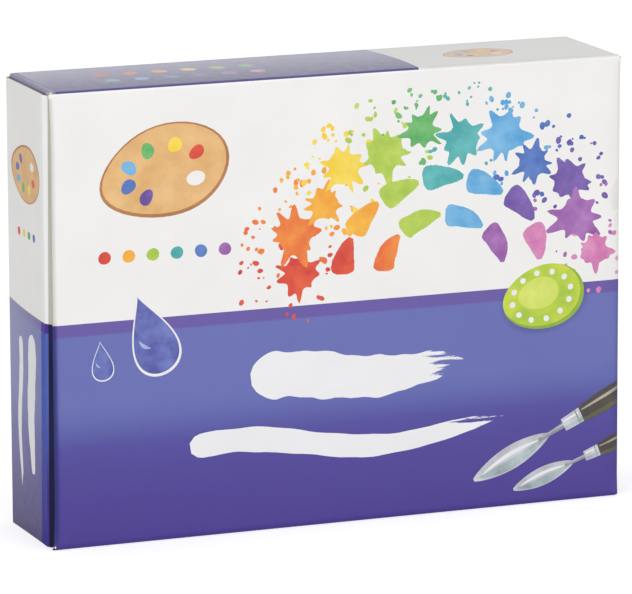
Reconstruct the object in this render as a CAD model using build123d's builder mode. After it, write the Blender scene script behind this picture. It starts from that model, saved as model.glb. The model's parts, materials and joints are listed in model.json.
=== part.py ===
from build123d import *

import os
from math import degrees, radians, tan

os.makedirs("parts", exist_ok=True)

# Gouache paint box: a folding carton with straight tuck ends that holds a grid of paint jars.
# It stands on one of its long narrow sides. X runs along it, -Y is its front and Z is up.
# Sizes are in millimetres and angles in degrees.

# Board, the outer radii of its folds, and the cut between the two halves of a crease that moves
board = 0.5
long_fold = 0.9
end_fold = 1.0
tuck_fold = 2.5
dust_fold = 0.7
crease_slit = 0.06
crease_share = 0.5

# Ends of the sleeve and the flaps that close it
front_inset = 1.2
flap_gap = 0.25
tuck_length = 10.0
tuck_gap = 1.1
tuck_inset = 0.5
tuck_corner = 6.0
lock_length = 6.0
lock_slit = 0.3
dust_length = 22.0
dust_back_inset = 1.0
dust_back_taper = 30
dust_front_taper = 5
dust_corner = 3.0
shoulder_height = 0.1
shoulder_gap = 0.2

# Glued seam under the back edge
glue_flap = 13.0
glue_taper = 4.0
glue_line = 0.1
glue_margin = 1.0
seam_inset = 0.8

# Jar, measured from its base towards its mouth
jar_height = 29.6
jar_wall = 0.9
jar_floor = 1.0
base_inset = 2.85
base_corner = 1.5
foot_width = 2.0
foot_recess = 0.6
shoulder_inset = 1.55
collar_height = 1.2
collar_inset = 0.6
paint_headroom = 3.2
paint_gap = 0.05

# Press-on lid
lid_diameter = 38.9
lid_height = 10.5
lid_top = 1.1
lid_wall = 1.1
lid_edge = 1.0
lid_panel_recess = 0.4
lid_panel_margin = 3.0
neck_room = 1.0
collar_gap = 0.1
seal_gap = 0.1
plug_gap = 0.15
plug_wall = 0.8
plug_depth = 2.2

# Grid of jars and the room round it
columns = 4
jar_gap = 0.3
side_gap = 0.5
seat_gap = 0.3
headroom = 1.4
lid_gap = 0.3

# Paints, from the left of each row and from the top row down
paints = [
    ["lemon", "yellow", "orange", "red"],
    ["crimson", "violet", "ultramarine", "sky_blue"],
    ["green", "brown", "black", "white"],
]
rows = len(paints)

# Outer size of the closed carton, which is cut to fit the jars
jar_pitch = lid_diameter + jar_gap
closed_jar = jar_height + seal_gap + lid_top
width = columns * jar_pitch - jar_gap + 2 * (board + flap_gap + board + side_gap)
height = rows * jar_pitch - jar_gap + seat_gap + headroom + 2 * board
depth = board + tuck_gap + board + lid_gap + closed_jar + seat_gap + board
side_x = width / 2
front_y = -depth / 2
back_y = depth / 2

# Levels that several panels share
sleeve_end = side_x - front_inset
dust_x = side_x - board - flap_gap
dust_root = dust_x - dust_fold
tuck_y = front_y + board + tuck_gap
end_trim = dust_fold + shoulder_height + shoulder_gap
tuck_trim = end_trim + tuck_inset
crease_width = depth - 2 * long_fold
lip_level = board + glue_line

# A crease turns by a right angle: its first part belongs to the panel that carries the flap
first_turn = 90 * crease_share
flap_turn = 90 - first_turn

print(f"carton {width:.2f} x {depth:.2f} x {height:.2f} mm")


def half_slit(radius):
    """Half the angle of the slit between the two halves of a crease of this outer radius."""
    return degrees(crease_slit / 2 / radius)


def save(piece, name):
    """Labels a finished piece and writes it to its own file."""
    piece.label = name
    export_step(piece, f"parts/{name}.step")


# Sleeve: one folded board, from its free edge under the back, round the front, to its glue flap
with BuildPart() as carton_sleeve:
    with BuildSketch(Plane.YZ):
        with BuildLine():
            outside = FilletPolyline(
                (back_y - seam_inset, 0),
                (front_y, 0),
                (front_y, height),
                (back_y, height),
                (back_y, lip_level),
                (back_y - glue_flap, lip_level),
                radius=long_fold,
            )
            inside = FilletPolyline(
                (back_y - seam_inset, board),
                (front_y + board, board),
                (front_y + board, height - board),
                (back_y - board, height - board),
                (back_y - board, lip_level + board),
                (back_y - glue_flap, lip_level + board),
                radius=long_fold - board,
            )
            Line(outside @ 0, inside @ 0)
            Line(outside @ 1, inside @ 1)
        make_face()
    extrude(amount=-sleeve_end)
    # The top and bottom panels stop short, where the creases of the dust flaps begin
    with BuildSketch(Plane.XZ.offset(-back_y + long_fold)):
        with Locations((-sleeve_end, 0), (-sleeve_end, height - board)):
            Rectangle(sleeve_end - dust_root, board, align=(Align.MIN, Align.MIN))
    extrude(amount=crease_width, mode=Mode.SUBTRACT)
    with BuildSketch(Plane.XY):
        with Locations((-sleeve_end, back_y)):
            Rectangle(sleeve_end - dust_root, long_fold, align=(Align.MIN, Align.MAX))
    extrude(amount=board, mode=Mode.SUBTRACT)
    # Tapered end of the glue flap
    with BuildSketch(Plane.XY.offset(lip_level - glue_line / 2)):
        with BuildLine():
            Polyline(
                (-sleeve_end, back_y),
                (-dust_root, back_y),
                (-dust_root, back_y - long_fold),
                (-dust_root + glue_taper, back_y - glue_flap),
                (-sleeve_end, back_y - glue_flap),
                close=True,
            )
        make_face()
    extrude(amount=glue_line / 2 + board, mode=Mode.SUBTRACT)
    # Halves of the creases that carry the dust flaps
    for rim, start, turn in ((height - dust_fold, 90, 1), (dust_fold, 270, -1)):
        with BuildSketch(Plane.XZ.offset(-back_y + long_fold)):
            with BuildLine():
                root = (-dust_root, rim)
                sweep = turn * (first_turn - half_slit(dust_fold))
                outer = CenterArc(root, dust_fold, start, sweep)
                inner = CenterArc(root, dust_fold - board, start, sweep)
                Line(outer @ 0, inner @ 0)
                Line(outer @ 1, inner @ 1)
            make_face()
        extrude(amount=crease_width)
    # Half of the crease that carries the end panel
    with BuildSketch(Plane.XY.offset(end_trim)):
        with BuildLine():
            Line((-sleeve_end, back_y), (-side_x + end_fold, back_y))
            root = (-side_x + end_fold, back_y - end_fold)
            CenterArc(root, end_fold, 90, first_turn - half_slit(end_fold))
            offset(amount=board, side=Side.LEFT)
        make_face()
    extrude(amount=height - 2 * end_trim)
    mirror(about=Plane.YZ)
save(carton_sleeve.part, "carton_sleeve")

# Glue between the bottom panel and the flap that comes round from the back panel
with BuildPart() as glue_seam:
    with BuildSketch(Plane.XY.offset(board)):
        with Locations((0, back_y - long_fold - glue_margin)):
            Rectangle(
                2 * (dust_root - glue_taper - glue_margin),
                glue_flap - long_fold - 2 * glue_margin,
                align=(Align.CENTER, Align.MAX),
            )
    extrude(amount=glue_line)
save(glue_seam.part, "glue_seam")

# End panel, from its crease on the back panel to the soft fold of its tuck flap
with BuildPart() as end_panel:
    with BuildSketch(Plane.XY.offset(end_trim)):
        with BuildLine():
            root = (-side_x + end_fold, back_y - end_fold)
            slit = half_slit(end_fold)
            crease = CenterArc(root, end_fold, 90 + first_turn + slit, flap_turn - slit)
            Line(crease @ 1, (-side_x, tuck_y + tuck_fold))
            bend = (-side_x + tuck_fold, tuck_y + tuck_fold)
            CenterArc(bend, tuck_fold, 180, first_turn - half_slit(tuck_fold))
            offset(amount=board, side=Side.LEFT)
        make_face()
    extrude(amount=height - 2 * end_trim)

# Tuck flap, which slips in behind the front panel
with BuildPart() as tuck_flap:
    with BuildSketch(Plane.XY.offset(tuck_trim)):
        with BuildLine():
            slit = half_slit(tuck_fold)
            bend = (-side_x + tuck_fold, tuck_y + tuck_fold)
            fold = CenterArc(bend, tuck_fold, 180 + first_turn + slit, flap_turn - slit)
            Line(fold @ 1, (-side_x + tuck_length, tuck_y))
            offset(amount=board, side=Side.LEFT)
        make_face()
    extrude(amount=height - 2 * tuck_trim)
    fillet(tuck_flap.edges().filter_by(Axis.Y).sort_by(Axis.X)[-2:], tuck_corner)
    # Slits at the ends of the fold, whose shoulders catch the dust flaps
    with BuildSketch(Plane.XZ.offset(-tuck_y - tuck_fold)):
        with Locations((-side_x + tuck_fold, tuck_trim), (-side_x + tuck_fold, height - tuck_trim)):
            Rectangle(lock_slit, 2 * lock_length)
    extrude(amount=tuck_fold, mode=Mode.SUBTRACT)

# Dust flap of the top panel, tapered so that it clears the end panel and the tuck flap
with BuildPart() as dust_flap:
    with BuildSketch(Plane.XZ.offset(-back_y)):
        with BuildLine():
            slit = half_slit(dust_fold)
            root = (-dust_root, height - dust_fold)
            crease = CenterArc(root, dust_fold, 90 + first_turn + slit, flap_turn - slit)
            Line(crease @ 1, (-dust_x, height - dust_length))
            offset(amount=board, side=Side.LEFT)
        make_face()
    extrude(amount=depth)
    with BuildSketch(Plane.YZ) as outline:
        with BuildLine():
            shoulder = height - dust_fold - shoulder_height
            tip = height - dust_length
            drop = shoulder - tip
            neck_y = tuck_y + tuck_fold
            Polyline(
                (front_y + long_fold, height),
                (front_y + long_fold, shoulder),
                (neck_y, shoulder),
                (neck_y + drop * tan(radians(dust_front_taper)), tip),
                (back_y - dust_back_inset - drop * tan(radians(dust_back_taper)), tip),
                (back_y - dust_back_inset, shoulder),
                (back_y - dust_back_inset, height),
                close=True,
            )
        make_face()
        fillet(outline.vertices().group_by(Axis.Y)[0], dust_corner)
    extrude(amount=-side_x, mode=Mode.INTERSECT)

# The same flaps close both ends, and the dust flaps the top and the bottom of each
for flap, piece in (("end_panel", end_panel), ("tuck_flap", tuck_flap), ("top_dust_flap", dust_flap)):
    save(piece.part, f"left_{flap}")
    with BuildPart() as opposite:
        mirror(piece.part, about=Plane.YZ)
    save(opposite.part, f"right_{flap}")
    if flap == "top_dust_flap":
        for end, upper in (("left", piece), ("right", opposite)):
            with BuildPart() as lower:
                mirror(upper.part, about=Plane.XY.offset(height / 2))
            save(lower.part, f"{end}_bottom_dust_flap")

# Jars lie with their bases to the back panel and their lids to the front
neck_radius = lid_diameter / 2 - lid_wall - neck_room
mouth_radius = neck_radius - jar_wall
collar_radius = lid_diameter / 2 - collar_inset
floor_level = foot_recess + jar_floor
base_radius = lid_diameter / 2 - base_inset
foot_radius = base_radius - foot_width
shoulder_radius = lid_diameter / 2 - shoulder_inset
skirt_level = closed_jar - lid_height
collar_level = skirt_level - collar_gap - collar_height
paint_level = jar_height - paint_headroom

for row, names in enumerate(paints):
    for column, paint in enumerate(names):
        base = (
            (column - (columns - 1) / 2) * jar_pitch,
            back_y - board - seat_gap,
            board + seat_gap + lid_diameter / 2 + (rows - 1 - row) * jar_pitch,
        )
        # The half section runs out from the axis along x, and from the base to the mouth along y
        section = Plane(origin=base, x_dir=(1, 0, 0), z_dir=(0, 0, -1))
        spindle = Axis(base, (0, -1, 0))

        with BuildPart() as jar:
            with BuildSketch(section) as wall:
                with BuildLine():
                    Polyline(
                        (0, foot_recess),
                        (foot_radius, foot_recess),
                        (foot_radius, 0),
                        (base_radius, 0),
                        (shoulder_radius, collar_level),
                        (collar_radius, collar_level),
                        (collar_radius, collar_level + collar_height),
                        (neck_radius, collar_level + collar_height),
                        (neck_radius, jar_height),
                        (mouth_radius, jar_height),
                        (mouth_radius, collar_level),
                        (base_radius - jar_wall, floor_level),
                        (0, floor_level),
                        close=True,
                    )
                make_face()
                rim = wall.vertices().group_by(Axis.Y)[0].sort_by(Axis.X)[-1]
                fillet(rim, base_corner)
            revolve(axis=spindle)
        save(jar.part, f"jar_{paint}")

        with BuildPart() as lid:
            with BuildSketch(section) as cap:
                with BuildLine():
                    Polyline(
                        (0, jar_height + seal_gap),
                        (mouth_radius - plug_gap - plug_wall, jar_height + seal_gap),
                        (mouth_radius - plug_gap - plug_wall, jar_height - plug_depth),
                        (mouth_radius - plug_gap, jar_height - plug_depth),
                        (mouth_radius - plug_gap, jar_height + seal_gap),
                        (lid_diameter / 2 - lid_wall, jar_height + seal_gap),
                        (lid_diameter / 2 - lid_wall, skirt_level),
                        (lid_diameter / 2, skirt_level),
                        (lid_diameter / 2, closed_jar),
                        (lid_diameter / 2 - lid_panel_margin, closed_jar),
                        (lid_diameter / 2 - lid_panel_margin, closed_jar - lid_panel_recess),
                        (0, closed_jar - lid_panel_recess),
                        close=True,
                    )
                make_face()
                crown = cap.vertices().group_by(Axis.Y)[-1].sort_by(Axis.X)[-1]
                fillet(crown, lid_edge)
            revolve(axis=spindle)
        save(lid.part, f"lid_{paint}")

        with BuildPart() as fill:
            with BuildSketch(section):
                with BuildLine():
                    Polyline(
                        (0, floor_level + paint_gap),
                        (base_radius - jar_wall - paint_gap, floor_level + paint_gap),
                        (mouth_radius - paint_gap, collar_level),
                        (mouth_radius - paint_gap, paint_level),
                        (0, paint_level),
                        close=True,
                    )
                make_face()
            revolve(axis=spindle)
        save(fill.part, f"paint_{paint}")
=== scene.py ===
import json
from functools import cache
from math import copysign, cos, exp, hypot, inf, pi, radians, sin, sqrt, tan, tau
from random import seed, uniform

import bpy
import bmesh
from mathutils import Matrix, Vector
from mathutils.geometry import delaunay_2d_cdt


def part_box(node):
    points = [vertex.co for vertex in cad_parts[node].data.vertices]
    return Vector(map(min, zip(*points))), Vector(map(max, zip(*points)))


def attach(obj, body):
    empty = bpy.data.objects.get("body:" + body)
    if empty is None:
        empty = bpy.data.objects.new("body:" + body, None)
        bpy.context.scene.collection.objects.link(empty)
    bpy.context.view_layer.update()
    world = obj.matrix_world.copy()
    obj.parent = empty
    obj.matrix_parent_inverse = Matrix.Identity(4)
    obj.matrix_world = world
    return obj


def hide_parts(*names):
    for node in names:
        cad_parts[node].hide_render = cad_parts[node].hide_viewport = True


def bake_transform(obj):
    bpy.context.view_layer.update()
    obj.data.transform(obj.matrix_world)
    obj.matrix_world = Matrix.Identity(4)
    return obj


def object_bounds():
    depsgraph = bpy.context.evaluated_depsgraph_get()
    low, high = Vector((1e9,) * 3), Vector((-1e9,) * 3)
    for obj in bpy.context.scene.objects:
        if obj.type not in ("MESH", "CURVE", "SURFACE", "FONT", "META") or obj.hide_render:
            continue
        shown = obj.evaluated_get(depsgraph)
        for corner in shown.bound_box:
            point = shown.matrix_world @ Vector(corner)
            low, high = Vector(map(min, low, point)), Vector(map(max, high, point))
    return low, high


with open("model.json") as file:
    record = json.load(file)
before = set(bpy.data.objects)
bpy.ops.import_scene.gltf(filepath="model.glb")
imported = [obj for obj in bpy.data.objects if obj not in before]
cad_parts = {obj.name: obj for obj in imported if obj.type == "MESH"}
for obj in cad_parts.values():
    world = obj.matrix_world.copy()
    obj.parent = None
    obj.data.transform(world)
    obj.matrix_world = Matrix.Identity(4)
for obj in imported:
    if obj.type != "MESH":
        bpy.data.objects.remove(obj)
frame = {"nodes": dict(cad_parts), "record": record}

# Sizes below are in millimetres and become metres where a mesh is made
MM = 0.001
cad_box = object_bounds()
low, high = (corner / MM for corner in cad_box)
side_x, front_y, back_y, top_z = high.x, low.y, high.y, high.z

# Board of the carton, as in the solids
board = 0.5
long_fold = 0.9
end_fold = 1.0
tuck_fold = 2.5
dust_fold = 0.7
sleeve_end = side_x - 1.2
dust_x = side_x - board - 0.25
dust_root = dust_x - dust_fold
lip_level = board + 0.1
seam_y = back_y - 0.8
glue_flap = 13.0
glue_taper = 4.0
end_low = (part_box("left_end_panel")[0] / MM).z
tuck_low = (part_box("left_tuck_flap")[0] / MM).z
tuck_tip = -(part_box("left_tuck_flap")[1] / MM).x
tuck_y = (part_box("left_tuck_flap")[0] / MM).y
dust_tip = (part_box("left_top_dust_flap")[0] / MM).z

# The end panels and the tuck flaps' folds reach farther down than their solids, to this height
end_foot = max(0.1, end_low - 0.9)

# The tuck flap's fold is a crease, a narrow flat and a softer bend. It reaches this far back and inward.
crease_turn, crease_bend, crease_flat, soft_bend = 35.0, 0.8, 2.2, 1.4
turn_sin, turn_cos = sin(radians(crease_turn)), cos(radians(crease_turn))
fold_back = crease_bend * turn_sin + crease_flat * turn_cos + soft_bend * (1 - turn_sin)
fold_in = crease_bend * (1 - turn_cos) + crease_flat * turn_sin + soft_bend * turn_cos

# The front panel starts here along the sleeve's board, and RISE turns that measure into a height
long_arc = pi / 2 * long_fold
front_start = seam_y - front_y - long_fold + long_arc
RISE = long_fold - front_start

# Extra mesh lines lie this far from each bend, and each bend has this many steps
SUPPORTS = (0.3, 1.0, 2.2, 4.5)
BEND_STEPS = 8

# Faces that turn by more than this meet in a sharp edge
SHARP_TURN = radians(35)

# Lengths nearer than this are the same
SAME = 1e-6

# One unit of the coordinates on the flat board, in millimetres
NET = 100.0

seed(7)


class Fold:
    """The outer face of a folded board in section: flats and bends, measured along the board."""

    def __init__(self, start, heading, runs, inner_side):
        self.runs = []
        self.inner_side = inner_side
        point, angle, length = Vector(start), radians(heading), 0.0
        for kind, size, turn in runs:
            run = size if kind == "flat" else abs(radians(turn)) * size
            self.runs.append((kind, length, run, point.copy(), angle, size, radians(turn)))
            point, angle = self._step(self.runs[-1], run)
            length += run
        self.length = length

    def _step(self, run, along):
        kind, _, _, point, angle, size, turn = run
        if kind == "flat":
            return point + along * Vector((cos(angle), sin(angle))), angle
        way = copysign(1, turn)
        centre = point + way * size * Vector((-sin(angle), cos(angle)))
        later = angle + way * along / size
        return centre - way * size * Vector((-sin(later), cos(later))), later

    def at(self, t, inward):
        """The point that lies t along the board and this far in from its outer face."""
        run = self.runs[0]
        for candidate in self.runs:
            if t >= candidate[1] - SAME:
                run = candidate
        point, angle = self._step(run, t - run[1])
        return point + self.inner_side * inward * Vector((-sin(angle), cos(angle)))

    def lines(self):
        """Where mesh lines run across the board: at each bend and on both sides of it."""
        marks = [0.0, self.length]
        for kind, begin, run, *_ in self.runs:
            if kind == "bend":
                marks += [begin + run * i / BEND_STEPS for i in range(BEND_STEPS + 1)]
                marks += [begin - away for away in SUPPORTS] + [begin + run + away for away in SUPPORTS]
        return sorted(mark for mark in set(marks) if 0 <= mark <= self.length)


def inside(point, loop):
    """Whether a point lies inside a closed loop."""
    x, y = point
    hit = False
    for (x0, y0), (x1, y1) in zip(loop, loop[1:] + loop[:1]):
        if (y0 > y) != (y1 > y) and x < (x1 - x0) * (y - y0) / (y1 - y0) + x0:
            hit = not hit
    return hit


def box_of(loop):
    xs, ys = zip(*loop)
    return min(xs), max(xs), min(ys), max(ys)


def turns(count):
    """Evenly spaced angles of one full turn."""
    return [tau * i / count for i in range(count)]


def evenly(start, end, parts):
    """Numbers from start to end in equal steps."""
    return [start + (end - start) * i / parts for i in range(parts + 1)]


def dense_ends(start, end):
    """Numbers from start to end that lie closer together towards both."""
    return [start + (end - start) * (1 - cos(pi * i / 30)) / 2 for i in range(31)]


def add_object(name, data):
    obj = bpy.data.objects.new(name, data)
    bpy.context.scene.collection.objects.link(obj)
    return obj


def sheet(name, fold, to_space, outline, base, motifs=(), breaks=(), lines=(), bow=None, wear_and_shade=None, edge=None,
          sides=None, step=9.0):
    """A folded sheet of board: an outer printed face, an inner face and a raw edge all round.

    The outline and the motifs are loops of (across, along) points. The print changes at breaks, which
    lie straight across the board, and at lines, which don't. base gives the slot of a plain stretch,
    each motif the slot of the ink that lies on it, and edge the slot of the raw edge. The mesh is finer
    by the two sides."""
    points, edges = [], []

    def put_in(line, closed=True):
        first = len(points)
        points.extend(Vector(p) for p in line)
        edges.extend((first + i, first + i + 1) for i in range(len(line) - 1))
        if closed:
            edges.append((first + len(line) - 1, first))

    put_in(outline)
    x0, x1, y0, y1 = box_of(outline)
    near, far = sides or (x0, x1)
    columns = max(2, round((x1 - x0) / step))
    rows = sorted(fold.lines() + list(breaks))
    filled = []
    for a, b in zip(rows, rows[1:]):
        parts = max(1, round((b - a) / step))
        filled += evenly(a, b, parts)[:-1]
    filled.append(rows[-1])
    for t in filled:
        line = sorted(evenly(x0, x1, columns) + [near + away for away in SUPPORTS]
                      + [far - away for away in SUPPORTS])
        if any(abs(t - mark) < SAME for mark in rows):
            put_in([(x, t) for x in line], closed=False)
        else:
            points.extend(Vector((x, t)) for x in line)
    for line in lines:
        put_in(line, closed=False)
    for loop, _ in motifs:
        put_in(loop)
    verts, _, faces, *_ = delaunay_2d_cdt(points, edges, [], 0, 1e-5)
    kept = []
    boxes = [(box_of(loop), loop, slot) for loop, slot in motifs]
    for face in faces:
        centre = sum((verts[i] for i in face), Vector((0, 0))) / len(face)
        if not inside(centre, outline):
            continue
        slot = base(centre)
        for (bx0, bx1, by0, by1), loop, ink in boxes:
            if bx0 <= centre.x <= bx1 and by0 <= centre.y <= by1 and inside(centre, loop):
                slot = ink
        kept.append((face, slot))

    bm = bmesh.new()
    net = bm.loops.layers.uv.new("net")
    wear_shade_value = bm.verts.layers.float.new("wear_and_shade")
    outer, inner, place = {}, {}, {}
    for face, _ in kept:
        for i in face:
            if i in outer:
                continue
            across, along = verts[i]
            dip = bow(across, along) if bow else 0.0
            for depth, store in ((dip, outer), (dip + board, inner)):
                a, b = fold.at(along, depth)
                store[i] = bm.verts.new(Vector(to_space(across, a, b)) * MM)
                store[i][wear_shade_value] = wear_and_shade(across, along) if wear_and_shade else 0.0
                place[store[i]] = (across, along)
    names = list(dict.fromkeys([slot for _, slot in kept] + ["board_inside", "raw_edge", "edge_inked"]))
    count = {}
    for face, slot in kept:
        made = bm.faces.new([outer[i] for i in face])
        made.material_index = names.index(slot)
        back = bm.faces.new([inner[i] for i in reversed(face)])
        back.material_index = names.index("board_inside")
        for pair in zip(face, list(face[1:]) + [face[0]]):
            key = frozenset(pair)
            count[key] = None if key in count else pair
    for pair in count.values():
        if pair:
            i, j = pair
            wall = bm.faces.new([outer[j], outer[i], inner[i], inner[j]])
            middle = (verts[i] + verts[j]) / 2
            wall.material_index = names.index(edge(middle) if edge else "raw_edge")
    for face in bm.faces:
        face.smooth = True
        for loop in face.loops:
            across, along = place[loop.vert]
            loop[net].uv = (across / NET, along / NET)
    bmesh.ops.recalc_face_normals(bm, faces=bm.faces)
    mesh = bpy.data.meshes.new(name)
    bm.to_mesh(mesh)
    bm.free()
    mesh.set_sharp_from_angle(angle=SHARP_TURN)
    for slot in names:
        mesh.materials.append(material(slot))
    obj = add_object(name, mesh)
    return obj


class Nodes:
    """Short hands for building the nodes of a new material, or of an owner that is given."""

    def __init__(self, name, owner=None, shader="Principled BSDF"):
        self.owner = owner or bpy.data.materials.new(name)
        self.owner.use_nodes = True
        self.tree = self.owner.node_tree
        self.shader = self.tree.nodes[shader]
        self.net = None

    def add(self, kind, **values):
        node = self.tree.nodes.new("ShaderNode" + kind)
        for key, value in values.items():
            setattr(node, key, value)
        return node

    def put(self, socket, value):
        """Links an output to a socket, or sets the socket to a number, a vector or a colour."""
        if hasattr(value, "is_output"):
            self.tree.links.new(value, socket)
        else:
            socket.default_value = value

    def fill(self, node, **values):
        """Puts each value in the input of its name, with _ for a space, and gives the node's outputs."""
        for key, value in values.items():
            if value is not None:
                self.put(node.inputs[key.replace("_", " ")], value)
        return node.outputs

    def position(self):
        """Place on the flat board, in units of NET."""
        if self.net is None:
            self.net = self.add("UVMap", uv_map="net").outputs[0]
        return self.net

    def millimetres(self, axis):
        """Place on the flat board: across it for axis 0, along it for axis 1."""
        outputs = self.fill(self.add("SeparateXYZ"), Vector=self.position())
        return self.math("MULTIPLY", outputs[axis], NET)

    def own_place(self):
        """Place on a piece that keeps its solid, in metres."""
        return self.add("TexCoord").outputs["Object"]

    def math(self, operation, a, b=0.0, clamp=False):
        node = self.add("Math", operation=operation, use_clamp=clamp)
        self.put(node.inputs[0], a)
        self.put(node.inputs[1], b)
        return node.outputs[0]

    def noise(self, vector, scale, detail=3.0, roughness=0.5, stretch=None):
        if stretch:
            vector = self.fill(self.add("Mapping"), Scale=stretch, Vector=vector)[0]
        node = self.add("TexNoise")
        return self.fill(node, Scale=scale, Detail=detail, Roughness=roughness, Vector=vector)["Fac"]

    def ramp(self, value, stops):
        node = self.add("ValToRGB")
        elements = node.color_ramp.elements
        while len(elements) < len(stops):
            elements.new(0.5)
        for element, (place, colour) in zip(elements, stops):
            element.position = place
            element.color = colour
        return self.fill(node, Fac=value)[0]

    def span(self, value, a=0.3, b=0.7, c=0.0, d=1.0):
        """Stretches the range from a to b, which holds most of a noise, over c to d."""
        node = self.add("MapRange")
        return self.fill(node, Value=value, From_Min=a, From_Max=b, To_Min=c, To_Max=d)[0]

    def mix(self, factor, a, b):
        node = self.add("Mix", data_type="RGBA")
        for socket, value in (("Factor", factor), (6, a), (7, b)):
            self.put(node.inputs[socket], value)
        return node.outputs[2]

    def bump(self, height, strength, distance, normal=None):
        node = self.add("Bump")
        return self.fill(node, Strength=strength, Distance=distance, Height=height, Normal=normal)[0]

    def finish(self, colour, roughness, normal=None, **others):
        self.fill(self.shader, Base_Color=colour, Roughness=roughness, Normal=normal, **others)
        return self.owner


def rgb(red, green, blue):
    """A colour given as it looks on a screen, from 0 to 255."""
    def linear(value):
        value /= 255
        return value / 12.92 if value <= 0.04045 else ((value + 0.055) / 1.055) ** 2.4
    return (linear(red), linear(green), linear(blue), 1.0)


PAPER = rgb(241, 240, 238)
CORE = rgb(184, 164, 140)
# Colours that painted shade darkens the print towards, where the wear value is below 0
PAINTED_SHADE_PAPER = rgb(186, 182, 174)
PAINTED_SHADE_INK = rgb(8, 18, 108)

# Where wear and fibres together pass the first limit the ink is gone, and past the second the paper too
INK_LIMIT, PAPER_LIMIT = 1.02, 1.30


def printed(name, ink, shade_colour=PAINTED_SHADE_PAPER, gloss=0.5):
    """Varnished print on board: the ink's colour, fine grain, and paper that shows where it is worn.

    The wear value of a place is above 0 where the ink rubs off, and below 0 where shade is painted on: there
    the colour is darkened towards the painted shade colour."""
    n = Nodes(name)
    place = n.position()
    grain = n.noise(place, 700, 2)
    tone = n.span(n.noise(place, 6), d=0.035)
    colour = n.mix(tone, ink(n), rgb(0, 0, 0))
    wear_shade_value = n.add("Attribute", attribute_name="wear_and_shade").outputs["Fac"]
    # Painted shade: a wear value below 0 darkens the colour
    colour = n.mix(n.span(wear_shade_value, 0.0, -1.0), colour, shade_colour)
    fibres = n.noise(place, 260, 4, 0.7)
    bare = n.math("GREATER_THAN", n.math("ADD", wear_shade_value, fibres), INK_LIMIT)
    colour = n.mix(bare, colour, PAPER)
    core = n.math("GREATER_THAN", n.math("ADD", wear_shade_value, n.noise(place, 150, 3, 0.6)), PAPER_LIMIT)
    colour = n.mix(core, colour, CORE)
    rough = n.span(n.noise(place, 40, 4), c=0.36, d=0.46)
    rough = n.math("ADD", rough, n.math("MULTIPLY", bare, 0.4))
    normal = n.bump(grain, 0.10, 0.00003)
    normal = n.bump(n.noise(place, 3.5, 2), 0.25, 0.0006, normal)
    return n.finish(colour, rough, normal, IOR=1.45, Specular_IOR_Level=gloss, Coat_Weight=gloss,
                    Coat_Roughness=0.14, Coat_IOR=1.5)


def plain(colour, other=None, scale=5.0):
    """An ink of one colour, mottled towards another."""
    def ink(n):
        if other is None:
            return colour
        return n.mix(n.span(n.noise(n.position(), scale, 4, 0.6), 0.35, 0.68), colour, other)
    return ink


# The white zone ends at a band over blues that deepen to violet towards the base. On an end panel the band is
# thinner and rises to the rear, where a painted sheen pales the ink, and the foot is darkest.
BAND_TOP = 59.3
BAND = 3.1
END_BAND = 2.4
END_RISE = 2.0
END_CURVE = 2.5
END_RUN = back_y - end_fold - (tuck_y + fold_back) + pi / 2 * end_fold
DEEP = rgb(65, 46, 141)
BLUE = rgb(98, 106, 178)
BAND_INK = rgb(98, 80, 161)
END_SHEEN = rgb(170, 172, 196)
FOOT = rgb(30, 10, 60)

# Where the back's top would be along the sleeve's board, if its top fold were sharp
BACK_TOP = front_start + top_z + back_y - front_y - 5 * long_fold + 2 * long_arc

# The badge on the front: centre and size, its width and height as shares of the size, and its turn
BADGE = (57.5, 56.5), 9.2
BADGE_WIDE, BADGE_HIGH, BADGE_TURN = 1.28, 0.92, 0.22

# Where the two white strokes on the front start and end
BOLD = (-25.0, 35.0)
FINE = (-42.0, 47.0)

# The inks at some heights on the front, and the deeper inks that paint the shade on the tuck flap's fold and
# on the strip beside that fold
FRONT_INKS = [(0.0, DEEP), (12.0, rgb(68, 50, 145)), (20.0, rgb(70, 57, 149)), (26.5, rgb(73, 66, 155)),
              (33.0, rgb(90, 97, 172)), (37.7, BLUE)]
FOLD_SHADE_INKS = [(0.0, rgb(66, 46, 138)), (16.0, rgb(66, 52, 142)), (27.0, rgb(74, 86, 168)),
             (38.0, rgb(82, 103, 182))]
NEAR_FOLD_SHADE_INKS = [(0.0, rgb(38, 12, 137)), (16.0, rgb(42, 42, 155)), (27.0, rgb(43, 68, 168)),
                  (38.0, rgb(43, 73, 180))]


def ink_at_height(n, height, inks, band, band_ink):
    """The colour of a height in millimetres: a list of inks, with a band below BAND_TOP."""
    stops = inks + [(BAND_TOP - band - 0.4, inks[-1][1]), (BAND_TOP - band, band_ink)]
    share = n.math("DIVIDE", height, BAND_TOP, clamp=True)
    return n.ramp(share, [(level / BAND_TOP, ink) for level, ink in stops])


def front_ink(n):
    return ink_at_height(n, n.math("ADD", n.millimetres(1), RISE), FRONT_INKS, BAND, BAND_INK)


def shaded_front_ink(n):
    """The front's ink with the soft shadow that is printed round the badge."""
    (across, height), radius = BADGE
    away = 0.9
    oval = n.fill(n.add("Mapping", vector_type="TEXTURE"), Vector=n.position(),
                  Location=((across + away) / NET, (height - away - RISE) / NET, 0.0),
                  Rotation=(0.0, 0.0, BADGE_TURN),
                  Scale=(radius * BADGE_WIDE / NET, radius * BADGE_HIGH / NET, 1.0))[0]
    reach = n.fill(n.add("VectorMath", operation="LENGTH"), Vector=oval)["Value"]
    return n.mix(n.span(reach, 0.98, 1.15, 0.45, 0.0), front_ink(n), rgb(58, 60, 128))


def back_ink(n):
    height = n.math("SUBTRACT", top_z, n.math("SUBTRACT", n.millimetres(1), BACK_TOP))
    return ink_at_height(n, height, FRONT_INKS, BAND, BAND_INK)


def fold_shade_ink(inks, band_ink):
    """The ink of the tuck flap's fold, or of the strip beside it: a deeper ink that paints their shade."""
    def ink(n):
        return ink_at_height(n, n.millimetres(0), inks, END_BAND, band_ink)
    return ink


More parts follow.
